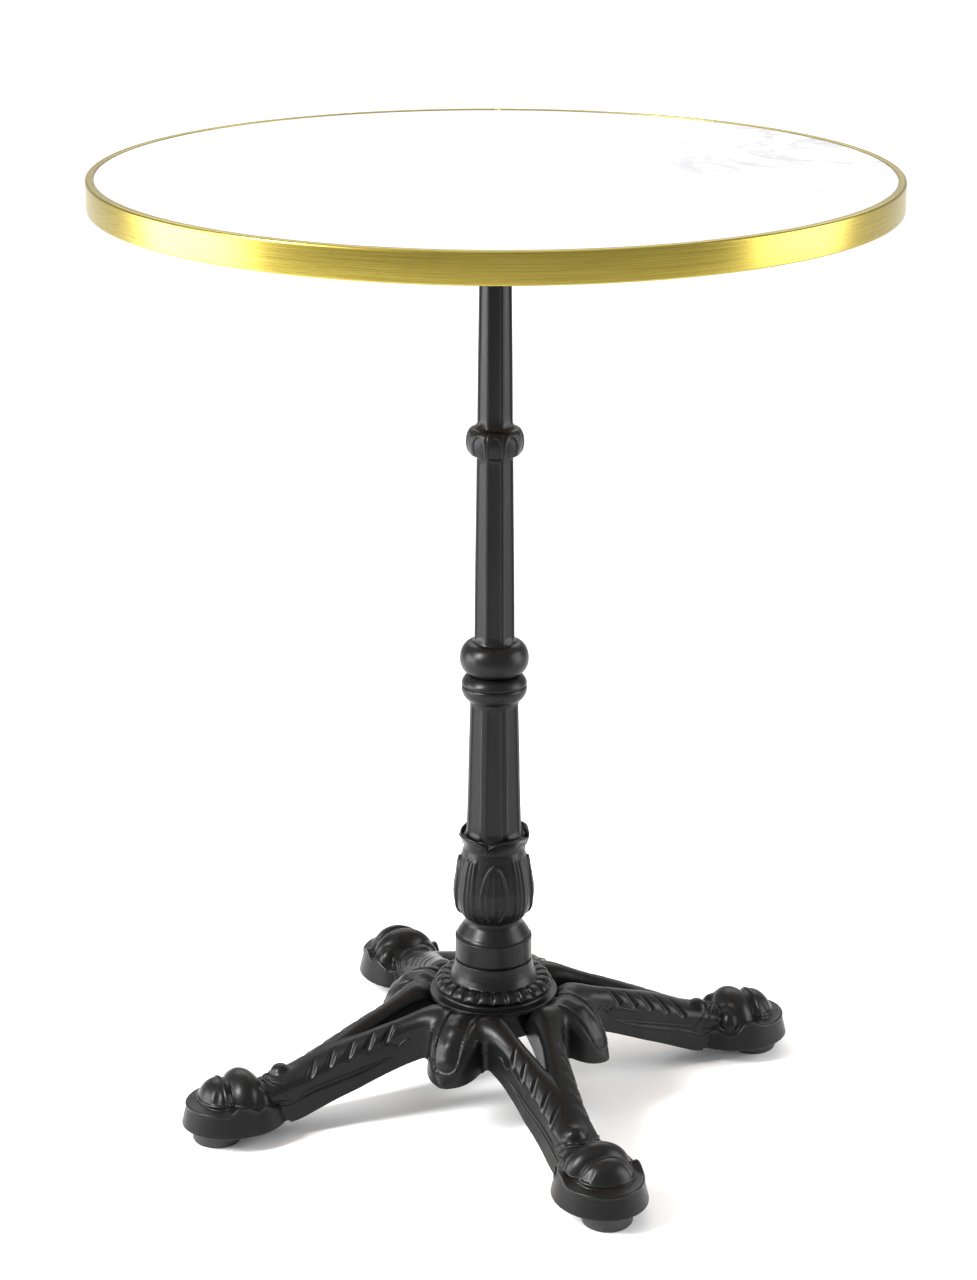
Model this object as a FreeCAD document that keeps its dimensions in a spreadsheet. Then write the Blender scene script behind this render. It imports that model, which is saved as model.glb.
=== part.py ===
import FreeCAD, Part

import math
import os

import Sketcher

# Bistro table: a round brass-bound marble top on a cast column and a four-legged cast base.
# Millimetres. The origin is on the floor under the middle of the table, +Z is up, and the
# four legs run out along +X, +Y, -X and -Y.

SIZES = {
    # top
    "table_height": 747.0,
    "top_radius": 300.0,
    "band_height": 23.0,
    "band_gauge": 0.8,
    "lip_width": 6.0,
    "lower_lip_width": 5.0,
    "marble_thickness": 10.0,
    "lip_rebate": 0.3,
    "lip_gap": 0.2,
    "band_clearance": 0.05,
    # spider that carries the top
    "spider_reach": 130.0,
    "spider_arm_width": 30.0,
    "spider_arm_thickness": 7.0,
    "spider_boss_radius": 25.0,
    "spider_boss_depth": 34.8,
    "spider_socket_depth": 14.0,
    "spider_socket_radius": 12.75,
    "spider_recess_radius": 15.0,
    "spider_recess_depth": 15.8,
    "screw_circle_radius": 110.0,
    "screw_radius": 2.25,
    "screw_bite": 9.0,
    "screw_head_radius": 4.6,
    "screw_head_height": 3.0,
    # upper column casting
    "column_top": 704.0,
    "column_top_radius": 12.2,
    "ring_top": 553.0,
    "ring_bottom": 532.0,
    "ring_radius": 22.3,
    "ring_neck_radius": 14.3,
    "ring_foot_radius": 14.6,
    "shaft_foot_radius": 16.4,
    "upper_bead_top": 383.0,
    "bead_joint": 357.5,
    "upper_bead_radius": 26.9,
    "lower_bead_radius": 24.9,
    "groove_radius": 19.0,
    "rod_passage_radius": 7.5,
    "spigot_radius": 11.5,
    "spigot_height": 6.0,
    # lower column casting
    "lower_bead_bottom": 337.0,
    "lower_shaft_top_radius": 19.5,
    "lower_shaft_bottom_radius": 22.4,
    "leaf_lip_top": 231.0,
    "leaf_lip_height": 222.0,
    "leaf_lip_radius": 28.7,
    "leaf_neck_height": 213.0,
    "leaf_neck_radius": 25.0,
    "leaf_belly_height": 176.0,
    "leaf_belly_radius": 32.2,
    "waist_height": 152.0,
    "waist_radius": 22.2,
    "drum_top": 137.5,
    "drum_radius": 30.5,
    "column_foot": 115.0,
    "core_radius": 14.0,
    # base casting
    "hub_neck_radius": 30.5,
    "hub_cone_radius": 34.7,
    "hub_cone_bottom": 101.0,
    "gadroon_radius": 46.5,
    "gadroon_bottom": 94.0,
    "cove_radius": 44.0,
    "flange_radius": 51.5,
    "flange_top": 91.0,
    "flange_bottom": 88.0,
    "hub_wall_radius": 42.0,
    "hub_floor": 62.0,
    "hub_bore_radius": 34.0,
    "hub_web_bottom": 95.0,
    "hub_spigot_radius": 17.5,
    "hub_spigot_height": 8.0,
    "wall": 5.5,
    # foot
    "foot_centre": 217.5,
    "shoe_length": 42.0,
    "shoe_width": 36.0,
    "shoe_taper": 5.0,
    "shoe_bottom": 14.5,
    "shoe_top": 33.0,
    "dome_centre": 211.0,
    "dome_height": 25.0,
    "dome_length": 17.0,
    "dome_width": 26.0,
    "ridge_centre": 229.0,
    "ridge_height": 21.3,
    "ridge_length": 15.0,
    "ridge_width": 21.0,
    "dome_base": 30.0,
    "knuckle_centre": 179.5,
    "knuckle_radius": 10.0,
    "knuckle_base": 43.6,
    # levelling glides
    "glide_radius": 232.0,
    "pad_radius": 19.3,
    "pad_tread_radius": 17.6,
    "pad_height": 12.0,
    "pad_gap": 0.3,
    "boss_radius": 10.0,
    "stud_radius": 4.9,
    "stud_head_radius": 9.0,
    "stud_head_bottom": 3.0,
    "stud_head_height": 3.0,
    "stud_top": 40.0,
    "fit_clearance": 0.05,
    # tie rod and its nuts
    "rod_radius": 6.0,
    "rod_bottom": 79.0,
    "rod_top": 723.5,
    "nut_flat_radius": 9.5,
    "nut_thickness": 10.0,
    "washer_radius": 12.0,
    "washer_thickness": 2.5,
}

FORMULAS = {
    "top_underside": "=table_height - band_height + band_gauge",
    "marble_top": "=table_height - band_gauge",
    "marble_bottom": "=marble_top - marble_thickness",
    "slab_radius": "=top_radius - band_gauge - band_clearance",
    "boss_bottom": "=top_underside - spider_boss_depth",
    "arm_underside": "=top_underside - spider_arm_thickness",
    "recess_floor": "=top_underside - spider_recess_depth",
}

doc = FreeCAD.newDocument("bistro_table")
sheet = doc.addObject("Spreadsheet::Sheet", "sizes")
sheet.set("A1", "name")
sheet.set("B1", "size in mm")
row = 2
for entries in (SIZES, FORMULAS):
    for alias, content in entries.items():
        sheet.set("A%d" % row, alias)
        sheet.set("B%d" % row, str(content))
        sheet.setAlias("B%d" % row, alias)
        row += 1
doc.recompute()


def linked(expression):
    """The expression with every size name pointed at the spreadsheet."""
    words = expression.replace("(", " ( ").replace(")", " ) ").split()
    names = list(SIZES) + list(FORMULAS)
    return " ".join("sizes." + word if word in names else word for word in words)


def size(expression):
    """The value of an expression written with spreadsheet names, in mm."""
    return float(sheet.evalExpression(linked(str(expression))))


def bind(feature, prop, expression):
    """Drive a property from the spreadsheet."""
    feature.setExpression(prop, linked(expression))


def pin_point(sketch, geometry, end, horizontal, vertical):
    """Hold one end of a sketch edge at a place given by two expressions."""
    across = sketch.addConstraint(
        Sketcher.Constraint("DistanceX", -1, 1, geometry, end, size(horizontal)))
    up = sketch.addConstraint(
        Sketcher.Constraint("DistanceY", -1, 1, geometry, end, size(vertical)))
    for index, expression in ((across, horizontal), (up, vertical)):
        if not isinstance(expression, (int, float)):
            sketch.setExpression("Constraints[%d]" % index, linked(expression))


def arc_edge(start, end, sagitta):
    """A circular arc between two points, bulging right of the way from start to end if positive."""
    chord = end - start
    half = chord.Length / 2
    radius = (half * half + sagitta * sagitta) / (2 * abs(sagitta))
    right = FreeCAD.Vector(chord.y, -chord.x, 0).normalize()
    reach = (radius - abs(sagitta)) * (1 if sagitta > 0 else -1)
    centre = (start + end) * 0.5 - right * reach
    first, last = (start, end) if sagitta > 0 else (end, start)
    begin = math.atan2(first.y - centre.y, first.x - centre.x)
    finish = math.atan2(last.y - centre.y, last.x - centre.x)
    if finish < begin:
        finish += 2 * math.pi
    circle = Part.Circle(centre, FreeCAD.Vector(0, 0, 1), radius)
    return Part.ArcOfCircle(circle, begin, finish)


def closed_outline(sketch, corners):
    """Draw a closed outline through corners (across, up, sagitta of the edge that follows).

    A sagitta bends the edge into an arc: positive bulges to the right of the direction of travel.
    """
    count = len(corners)
    places = [FreeCAD.Vector(size(c[0]), size(c[1]), 0) for c in corners]
    for index, corner in enumerate(corners):
        start = places[index]
        end = places[(index + 1) % count]
        sagitta = size(corner[2]) if len(corner) > 2 else 0.0
        if sagitta == 0.0:
            sketch.addGeometry(Part.LineSegment(start, end), False)
            continue
        sketch.addGeometry(arc_edge(start, end, sagitta), False)
    ends = []
    for index in range(count):
        curve = sketch.Geometry[index]
        from_start = (curve.StartPoint - places[index]).Length
        from_end = (curve.EndPoint - places[index]).Length
        ends.append((1, 2) if from_start < from_end else (2, 1))
    for index in range(count):
        following = (index + 1) % count
        sketch.addConstraint(Sketcher.Constraint(
            "Coincident", index, ends[index][1], following, ends[following][0]))
    for index, corner in enumerate(corners):
        pin_point(sketch, index, ends[index][0], corner[0], corner[1])


def new_body(label):
    body = doc.addObject("PartDesign::Body", label)
    body.Label = label
    return body


def origin_item(body, role):
    """One of the body's own origin planes or axes."""
    return [item for item in body.Origin.OriginFeatures if item.Role == role][0]


def plane_sketch(body, role, name):
    sketch = body.newObject("Sketcher::SketchObject", name)
    sketch.AttachmentSupport = [(origin_item(body, role), "")]
    sketch.MapMode = "FlatFace"
    return sketch


def turned(body, name, corners, feature="PartDesign::Revolution"):
    """Revolve (or groove) a profile of (radius, height) corners about the body's Z axis."""
    sketch = plane_sketch(body, "XZ_Plane", name + "_profile")
    closed_outline(sketch, corners)
    solid = body.newObject(feature, name)
    solid.Profile = sketch
    solid.ReferenceAxis = (origin_item(body, "Z_Axis"), [""])
    solid.Angle = 360.0
    doc.recompute()
    return solid


def drill(body, name, places, radius, bottom, top):
    """Cut round vertical holes at places (x, y) between two heights."""
    sketch = plane_sketch(body, "XY_Plane", name + "_circles")
    sketch.AttachmentOffset = FreeCAD.Placement(
        FreeCAD.Vector(0, 0, size(bottom)), FreeCAD.Rotation())
    bind(sketch, "AttachmentOffset.Base.z", bottom)
    for index, (x, y) in enumerate(places):
        centre = FreeCAD.Vector(x, y, 0)
        sketch.addGeometry(Part.Circle(centre, FreeCAD.Vector(0, 0, 1), size(radius)), False)
        held = sketch.addConstraint(Sketcher.Constraint("Radius", index, size(radius)))
        sketch.setExpression("Constraints[%d]" % held, linked(radius))
    pocket = body.newObject("PartDesign::Pocket", name)
    pocket.Profile = sketch
    pocket.Reversed = True
    bind(pocket, "Length", "( %s ) - ( %s )" % (top, bottom))
    doc.recompute()
    return pocket


# ---------------------------------------------------------------- top

marble = new_body("marble_slab")
turned(marble, "slab", [
    (0, "marble_bottom"), ("slab_radius", "marble_bottom"),
    ("slab_radius", "marble_top - lip_rebate"),
    ("top_radius - lip_width - lip_gap", "marble_top - lip_rebate"),
    ("top_radius - lip_width - lip_gap", "marble_top"), (0, "marble_top"),
])

board = new_body("plywood_board")
turned(board, "disc", [
    (0, "top_underside"), ("slab_radius", "top_underside"),
    ("slab_radius", "marble_bottom"), (0, "marble_bottom"),
])
screw_places = []
for quarter in range(4):
    bearing = math.radians(45 + 90 * quarter)
    reach = SIZES["screw_circle_radius"]
    screw_places.append((reach * math.cos(bearing), reach * math.sin(bearing)))
drill(board, "pilot_holes", screw_places, "screw_radius + fit_clearance",
      "top_underside", "top_underside + screw_bite + 1")

band = new_body("brass_band")
band_floor = "table_height - band_height"
turned(band, "profile", [
    ("top_radius - lower_lip_width", band_floor), ("top_radius", band_floor),
    ("top_radius", "table_height"), ("top_radius - lip_width", "table_height"),
    ("top_radius - lip_width", "marble_top"), ("top_radius - band_gauge", "marble_top"),
    ("top_radius - band_gauge", "top_underside"),
    ("top_radius - lower_lip_width", "top_underside"),
])

# ---------------------------------------------------------------- spider under the top

spider = new_body("top_spider")
turned(spider, "boss", [
    ("rod_passage_radius - 1", "boss_bottom"), ("spider_boss_radius - 6", "boss_bottom"),
    ("spider_boss_radius", "arm_underside"), ("spider_boss_radius + 8", "arm_underside"),
    ("spider_boss_radius + 8", "top_underside"), ("rod_passage_radius - 1", "top_underside"),
])
for name, bearing in (("arm_pair_one", 45), ("arm_pair_two", 135)):
    arm_sketch = plane_sketch(spider, "XY_Plane", name + "_plan")
    arm_sketch.AttachmentOffset = FreeCAD.Placement(
        FreeCAD.Vector(0, 0, size("arm_underside")),
        FreeCAD.Rotation(FreeCAD.Vector(0, 0, 1), bearing))
    bind(arm_sketch, "AttachmentOffset.Base.z", "arm_underside")
    reach = SIZES["spider_reach"]
    half = SIZES["spider_arm_width"] / 2
    tip = half * 0.7
    closed_outline(arm_sketch, [
        (-reach, -tip), (0, -half), (reach, -tip, tip * 0.7), (reach, tip),
        (0, half), (-reach, tip, tip * 0.7),
    ])
    arm_pad = spider.newObject("PartDesign::Pad", name)
    arm_pad.Profile = arm_sketch
    bind(arm_pad, "Length", "spider_arm_thickness")
    doc.recompute()
turned(spider, "column_socket", [
    (0, "boss_bottom"), ("spider_socket_radius", "boss_bottom"),
    ("spider_socket_radius", "boss_bottom + spider_socket_depth"),
    (0, "boss_bottom + spider_socket_depth"),
], "PartDesign::Groove")
turned(spider, "nut_recess", [
    (0, "recess_floor"), ("spider_recess_radius", "recess_floor"),
    ("spider_recess_radius", "top_underside"), (0, "top_underside"),
], "PartDesign::Groove")
drill(spider, "rod_hole", [(0, 0)], "rod_radius + 0.5", "boss_bottom", "top_underside")
drill(spider, "screw_holes", screw_places, "screw_radius + 0.35",
      "arm_underside", "top_underside")

# ---------------------------------------------------------------- column

upper = new_body("column_upper")
bead_reach = "upper_bead_radius - groove_radius"
turned(upper, "casting", [
    ("rod_passage_radius", "bead_joint"), ("groove_radius", "bead_joint", bead_reach),
    ("groove_radius", "upper_bead_top"), ("shaft_foot_radius", "upper_bead_top"),
    ("ring_foot_radius", "ring_bottom"),
    ("ring_foot_radius + 3", "ring_bottom", "ring_radius - ring_foot_radius - 3"),
    ("ring_foot_radius + 3", "ring_top"), ("ring_neck_radius", "ring_top"),
    ("column_top_radius", "column_top"), ("rod_passage_radius", "column_top"),
])
turned(upper, "spigot_socket", [
    (0, "bead_joint"), ("spigot_radius + fit_clearance", "bead_joint"),
    ("spigot_radius + fit_clearance", "bead_joint + spigot_height + 1"),
    (0, "bead_joint + spigot_height + 1"),
], "PartDesign::Groove")

lower = new_body("column_lower")
turned(lower, "casting", [
    ("rod_passage_radius", "column_foot"), ("drum_radius", "column_foot"),
    ("drum_radius", "drum_top"), ("drum_radius - 2.5", "drum_top + 4", -1.5),
    ("waist_radius", "waist_height"), ("waist_radius", "waist_height + 3"),
    ("leaf_belly_radius - 4.5", "leaf_belly_height - 17", 2.2),
    ("leaf_belly_radius", "leaf_belly_height"),
    ("leaf_belly_radius - 0.6", "leaf_belly_height + 8", -1.0),
    ("leaf_neck_radius", "leaf_neck_height"),
    ("leaf_lip_radius - 1", "leaf_lip_height - 4", 1.0),
    ("leaf_lip_radius - 1", "leaf_lip_height + 4"),
    ("lower_shaft_bottom_radius", "leaf_lip_top"),
    ("lower_shaft_top_radius", "lower_bead_bottom"),
    ("lower_shaft_top_radius + 1", "lower_bead_bottom", "lower_bead_radius - 20"),
    ("groove_radius", "bead_joint"),
    ("spigot_radius", "bead_joint"), ("spigot_radius", "bead_joint + spigot_height"),
    ("rod_passage_radius", "bead_joint + spigot_height"),
])
turned(lower, "foot_socket", [
    (0, "column_foot"), ("hub_spigot_radius + fit_clearance", "column_foot"),
    ("hub_spigot_radius + fit_clearance", "column_foot + hub_spigot_height + 1"),
    (0, "column_foot + hub_spigot_height + 1"),
], "PartDesign::Groove")
turned(lower, "core", [
    (0, "column_foot + hub_spigot_height"), ("core_radius", "column_foot + hub_spigot_height"),
    ("core_radius", "lower_bead_bottom - 8"), (0, "lower_bead_bottom - 8"),
], "PartDesign::Groove")

# ---------------------------------------------------------------- tie rod, nuts and washers


def hexagon_nut(label, bottom):
    """A hexagon nut with turned chamfers on the tie rod."""
    nut = new_body(label)
    sketch = plane_sketch(nut, "XY_Plane", label + "_hexagon")
    sketch.AttachmentOffset = FreeCAD.Placement(
        FreeCAD.Vector(0, 0, size(bottom)), FreeCAD.Rotation())
    bind(sketch, "AttachmentOffset.Base.z", bottom)
    corner = SIZES["nut_flat_radius"] / math.cos(math.radians(30))
    closed_outline(sketch, [
        (corner * math.cos(math.radians(60 * side)), corner * math.sin(math.radians(60 * side)))
        for side in range(6)
    ])
    blank = nut.newObject("PartDesign::Pad", label + "_blank")
    blank.Profile = sketch
    bind(blank, "Length", "nut_thickness")
    doc.recompute()
    drill(nut, label + "_bore", [(0, 0)], "rod_radius + fit_clearance",
          bottom, "%s + nut_thickness" % bottom)
    return nut


def plain_washer(label, bottom):
    washer = new_body(label)
    turned(washer, label + "_ring", [
        ("rod_radius + 0.5", bottom), ("washer_radius", bottom),
        ("washer_radius", "%s + washer_thickness" % bottom),
        ("rod_radius + 0.5", "%s + washer_thickness" % bottom),
    ])
    return washer


rod = new_body("tie_rod")
turned(rod, "bar", [
    (0, "rod_bottom"), ("rod_radius - 1", "rod_bottom"), ("rod_radius", "rod_bottom + 1"),
    ("rod_radius", "rod_top - 1"), ("rod_radius - 1", "rod_top"), (0, "rod_top"),
])
top_washer = plain_washer("top_washer", "recess_floor")
top_nut = hexagon_nut("top_nut", "recess_floor + washer_thickness")
bottom_washer = plain_washer("bottom_washer", "hub_web_bottom - washer_thickness")
bottom_nut = hexagon_nut("bottom_nut", "hub_web_bottom - washer_thickness - nut_thickness")

# ---------------------------------------------------------------- wood screws

screws = new_body("one_screw")
head_floor = "arm_underside - screw_head_height"
turned(screws, "first_screw", [
    (0, head_floor), ("screw_head_radius - 1.6", head_floor),
    ("screw_head_radius", "arm_underside - 1"), ("screw_head_radius", "arm_underside"),
    ("screw_radius", "arm_underside"), ("screw_radius", "top_underside + screw_bite - 3"),
    (0, "top_underside + screw_bite"),
])
screw_solids = []
for x, y in screw_places:
    screw_solids.append(screws.Shape.translated(FreeCAD.Vector(x, y, 0)))
screw_set = doc.addObject("Part::Feature", "spider_screws")
screw_set.Shape = Part.makeCompound(screw_solids)
screw_set.Placement = FreeCAD.Placement()

# ---------------------------------------------------------------- base casting


def beam_section(name, bearing, reach, offset, half_crest, half_foot, crest, foot):
    """A round-topped section of a hollow beam, standing across the bearing at a reach.

    It is half_crest wide at the springing of its round top and half_foot wide at its foot.
    """
    sketch = doc.addObject("Sketcher::SketchObject", name)
    upright = FreeCAD.Rotation(FreeCAD.Vector(0, 1, 0), FreeCAD.Vector(0, 0, 1),
                               FreeCAD.Vector(1, 0, 0), "ZXY")
    turn = FreeCAD.Rotation(FreeCAD.Vector(0, 0, 1), bearing)
    sketch.Placement = FreeCAD.Placement(
        turn.multVec(FreeCAD.Vector(reach, offset, 0)), turn.multiply(upright))
    spring = crest - min(half_crest, crest - foot - 1.0)
    places = [(-half_foot, foot), (half_foot, foot), (half_crest, spring), (-half_crest, spring)]
    points = [FreeCAD.Vector(x, y, 0) for x, y in places]
    sketch.addGeometry(Part.LineSegment(points[0], points[1]), False)
    sketch.addGeometry(Part.LineSegment(points[1], points[2]), False)
    sketch.addGeometry(Part.Arc(points[2], FreeCAD.Vector(0, crest, 0), points[3]), False)
    sketch.addGeometry(Part.LineSegment(points[3], points[0]), False)
    for first, second in ((0, 1), (1, 2), (2, 3), (3, 0)):
        end, start = (2, 1)
        sketch.addConstraint(Sketcher.Constraint("Coincident", first, end, second, start))
    return sketch


def beam(name, bearing, stations, inset=0.0, floor_drop=0.0):
    """Loft a beam through stations (reach, offset, half_crest, half_foot, crest, foot)."""
    sections = []
    for index, (reach, offset, half_crest, half_foot, crest, foot) in enumerate(stations):
        sections.append(beam_section(
            "%s_section_%d" % (name, index), bearing, reach, offset,
            half_crest - inset, half_foot - inset, crest - inset, foot - floor_drop))
    doc.recompute()
    loft = doc.addObject("Part::Loft", name)
    loft.Sections = sections
    loft.Solid = True
    loft.Ruled = True
    return loft


def mirror(name, source, normal):
    copy = doc.addObject("Part::Mirroring", name)
    copy.Source = source
    copy.Base = FreeCAD.Vector(0, 0, 0)
    copy.Normal = FreeCAD.Vector(*normal)
    return copy


def fuse(name, shapes):
    joined = doc.addObject("Part::MultiFuse", name)
    joined.Shapes = shapes
    joined.Refine = True
    return joined


def cut(name, base, tool):
    left = doc.addObject("Part::Cut", name)
    left.Base = base
    left.Tool = tool
    return left


def four_ways(name, source, diagonal=False):
    """The source and its three copies a quarter turn apart.

    The source is symmetric about its own bearing, which is +X, or +X+Y if diagonal.
    """
    opposite = mirror(name + "_opposite", source, (1, 0, 0))
    beside = mirror(name + "_beside", source, (0, 1, 0) if diagonal else (1, -1, 0))
    last = mirror(name + "_last", opposite if diagonal else beside, (0, 1, 0))
    return [source, opposite, beside, last]


# Each leg is a wishbone: two arms leave the hub side by side and run together half way out.
ARM_STATIONS = [
    (36.0, 20.0, 10.5, 12.5, 95.0, 69.0),
    (60.0, 19.5, 10.5, 12.5, 93.0, 60.0),
    (86.0, 15.5, 10.0, 12.0, 83.5, 49.0),
    (112.0, 11.0, 9.8, 12.0, 74.0, 38.0),
    (137.0, 8.0, 9.6, 12.0, 64.5, 27.5),
    (168.0, 8.0, 9.6, 12.0, 52.0, 14.0),
    (200.0, 8.0, 9.6, 12.0, 43.0, 14.0),
]
# Between each pair of legs a scroll-shaped tongue hangs from the hub.
TONGUE_STATIONS = [
    (34.0, 0.0, 17.0, 19.0, 88.0, 60.0),
    (60.0, 0.0, 19.5, 23.0, 91.0, 46.0),
    (74.0, 0.0, 19.5, 24.0, 89.0, 41.0),
    (85.0, 0.0, 16.5, 22.0, 78.0, 41.0),
    (93.0, 0.0, 11.0, 15.0, 64.0, 42.0),
    (98.0, 0.0, 4.0, 6.0, 50.0, 43.0),
]
WALL = SIZES["wall"]

hub = new_body("hub")
turned(hub, "hub_turning", [
    ("rod_radius + 0.5", "hub_web_bottom"), ("hub_bore_radius - 8", "hub_web_bottom"),
    ("hub_bore_radius", "hub_floor"), ("hub_wall_radius", "hub_floor"),
    ("hub_wall_radius", "flange_bottom"), ("flange_radius - 1", "flange_bottom"),
    ("flange_radius", "flange_bottom + 1.5"), ("flange_radius - 1", "flange_top"),
    ("cove_radius", "flange_top", -1.0), ("cove_radius + 0.5", "gadroon_bottom"),
    ("gadroon_radius", "gadroon_bottom", 3.0), ("hub_cone_radius", "hub_cone_bottom"),
    ("hub_neck_radius", "column_foot"), ("hub_spigot_radius", "column_foot"),
    ("hub_spigot_radius", "column_foot + hub_spigot_height"),
    ("rod_radius + 0.5", "column_foot + hub_spigot_height"),
])

arm_left = beam("arm_left", 0, ARM_STATIONS)
arm_right = mirror("arm_right", arm_left, (0, 1, 0))
arm_core_left = beam("arm_core_left", 0, ARM_STATIONS[1:-1], WALL, 20.0)
arm_core_right = mirror("arm_core_right", arm_core_left, (0, 1, 0))
tongue = beam("tongue", 45, TONGUE_STATIONS)
tongue_core = beam("tongue_core", 45, TONGUE_STATIONS[1:-1], WALL, 20.0)


def shoe_block(name, inset, bottom, top):
    """The round shoe of a foot, an oval that narrows upwards."""
    ovals = []
    for index, (height, taper) in enumerate(((bottom, 0), (top, "shoe_taper"))):
        oval = doc.addObject("Part::Ellipse", "%s_oval_%d" % (name, index))
        bind(oval, "MajorRadius", "shoe_length - %s - %s" % (inset, taper))
        bind(oval, "MinorRadius", "shoe_width - %s - %s" % (inset, taper))
        bind(oval, "Placement.Base.x", "foot_centre")
        bind(oval, "Placement.Base.z", height)
        ovals.append(oval)
    doc.recompute()
    block = doc.addObject("Part::Loft", name)
    block.Sections = ovals
    block.Solid = True
    block.Ruled = True
    return block


def ellipsoid(name, centre, base, height, length, width):
    dome = doc.addObject("Part::Ellipsoid", name)
    bind(dome, "Radius1", height)
    bind(dome, "Radius2", length)
    bind(dome, "Radius3", width)
    dome.Angle1 = 0
    bind(dome, "Placement.Base.x", centre)
    bind(dome, "Placement.Base.z", base)
    return dome


shoe = shoe_block("shoe", 0, "shoe_bottom", "shoe_top")
shoe_core = shoe_block("shoe_core", "wall", "shoe_bottom - 2", "shoe_top - wall")
dome = ellipsoid("dome", "dome_centre", "dome_base", "dome_height", "dome_length", "dome_width")
ridge = ellipsoid("ridge", "ridge_centre", "dome_base", "ridge_height", "ridge_length",
                  "ridge_width")
knuckle = doc.addObject("Part::Sphere", "knuckle")
bind(knuckle, "Radius", "knuckle_radius")
bind(knuckle, "Placement.Base.x", "knuckle_centre")
bind(knuckle, "Placement.Base.z", "knuckle_base")

boss = doc.addObject("Part::Cylinder", "glide_boss")
bind(boss, "Radius", "boss_radius")
bind(boss, "Height", "dome_base - pad_height - pad_gap")
bind(boss, "Placement.Base.x", "glide_radius")
bind(boss, "Placement.Base.z", "pad_height + pad_gap")
thread = doc.addObject("Part::Cylinder", "glide_thread")
bind(thread, "Radius", "stud_radius + fit_clearance")
bind(thread, "Height", "stud_top + 2")
bind(thread, "Placement.Base.x", "glide_radius")
doc.recompute()

leg_outside = fuse("leg_outside", [arm_left, arm_right, shoe, dome, ridge, knuckle])
leg_inside = fuse("leg_inside", [arm_core_left, arm_core_right, shoe_core])
outside = fuse("outside", four_ways("leg_skin", leg_outside)
               + four_ways("tongue_skin", tongue, True) + [hub])
inside = fuse("inside", four_ways("leg_space", leg_inside)
              + four_ways("tongue_space", tongue_core, True))
shell = cut("shell", outside, inside)
bosses = four_ways("boss_copy", boss)
kept_hub = fuse("shell_with_bosses", [shell] + bosses)
threads = fuse("threads", four_ways("thread_copy", thread))
base = cut("base_casting", kept_hub, threads)
base.Label = "base_casting"
doc.recompute()

# ---------------------------------------------------------------- levelling glides

FEET = {"right": 0, "rear": 90, "left": 180, "front": 270}
glides = []
for foot, bearing in FEET.items():
    place = FreeCAD.Placement(
        FreeCAD.Rotation(FreeCAD.Vector(0, 0, 1), bearing).multVec(
            FreeCAD.Vector(SIZES["glide_radius"], 0, 0)),
        FreeCAD.Rotation(FreeCAD.Vector(0, 0, 1), bearing))
    pad = new_body("pad_" + foot)
    head_space = "stud_head_bottom + stud_head_height + fit_clearance"
    turned(pad, "pad_%s_puck" % foot, [
        (0, 0), ("pad_tread_radius", 0, 0.6), ("pad_radius", 3.5),
        ("pad_radius", "pad_height"), ("stud_radius + 0.3", "pad_height"),
        ("stud_radius + 0.3", head_space),
        ("stud_head_radius + fit_clearance", head_space),
        ("stud_head_radius + fit_clearance", "stud_head_bottom - fit_clearance"),
        (0, "stud_head_bottom - fit_clearance"),
    ])
    pad.Placement = place
    stud = new_body("stud_" + foot)
    turned(stud, "stud_%s_turning" % foot, [
        (0, "stud_head_bottom"), ("stud_head_radius", "stud_head_bottom"),
        ("stud_head_radius", "stud_head_bottom + stud_head_height"),
        ("stud_radius", "stud_head_bottom + stud_head_height"),
        ("stud_radius", "stud_top - 1"), ("stud_radius - 1", "stud_top"), (0, "stud_top"),
    ])
    stud.Placement = place
    glides += [pad, stud]
doc.recompute()

# ---------------------------------------------------------------- check and write

NODES = {
    "marble_slab": marble, "plywood_board": board, "brass_band": band, "top_spider": spider,
    "spider_screws": screw_set, "column_upper": upper, "column_lower": lower, "tie_rod": rod,
    "top_washer": top_washer, "top_nut": top_nut, "bottom_washer": bottom_washer,
    "bottom_nut": bottom_nut, "base_casting": base,
}
for part in glides:
    NODES[part.Label] = part

for item in doc.Objects:
    if "Invalid" in item.State or "Error" in item.State:
        raise RuntimeError("%s did not recompute: %s" % (item.Label, item.State))

os.makedirs("parts", exist_ok=True)
for name, part in NODES.items():
    shape = part.Shape
    if shape.isNull() or not shape.isValid():
        raise RuntimeError("%s has no valid shape" % name)
    shape.exportStep("parts/%s.step" % name)
    box = shape.BoundBox
    print("%-16s %2d solids %9.1f mm3  z %.1f to %.1f  x %.1f to %.1f" % (
        name, len(shape.Solids), shape.Volume, box.ZMin, box.ZMax, box.XMin, box.XMax))
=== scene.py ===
import math

import bmesh
import bpy
import numpy as np
from mathutils import Matrix, Vector


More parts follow.
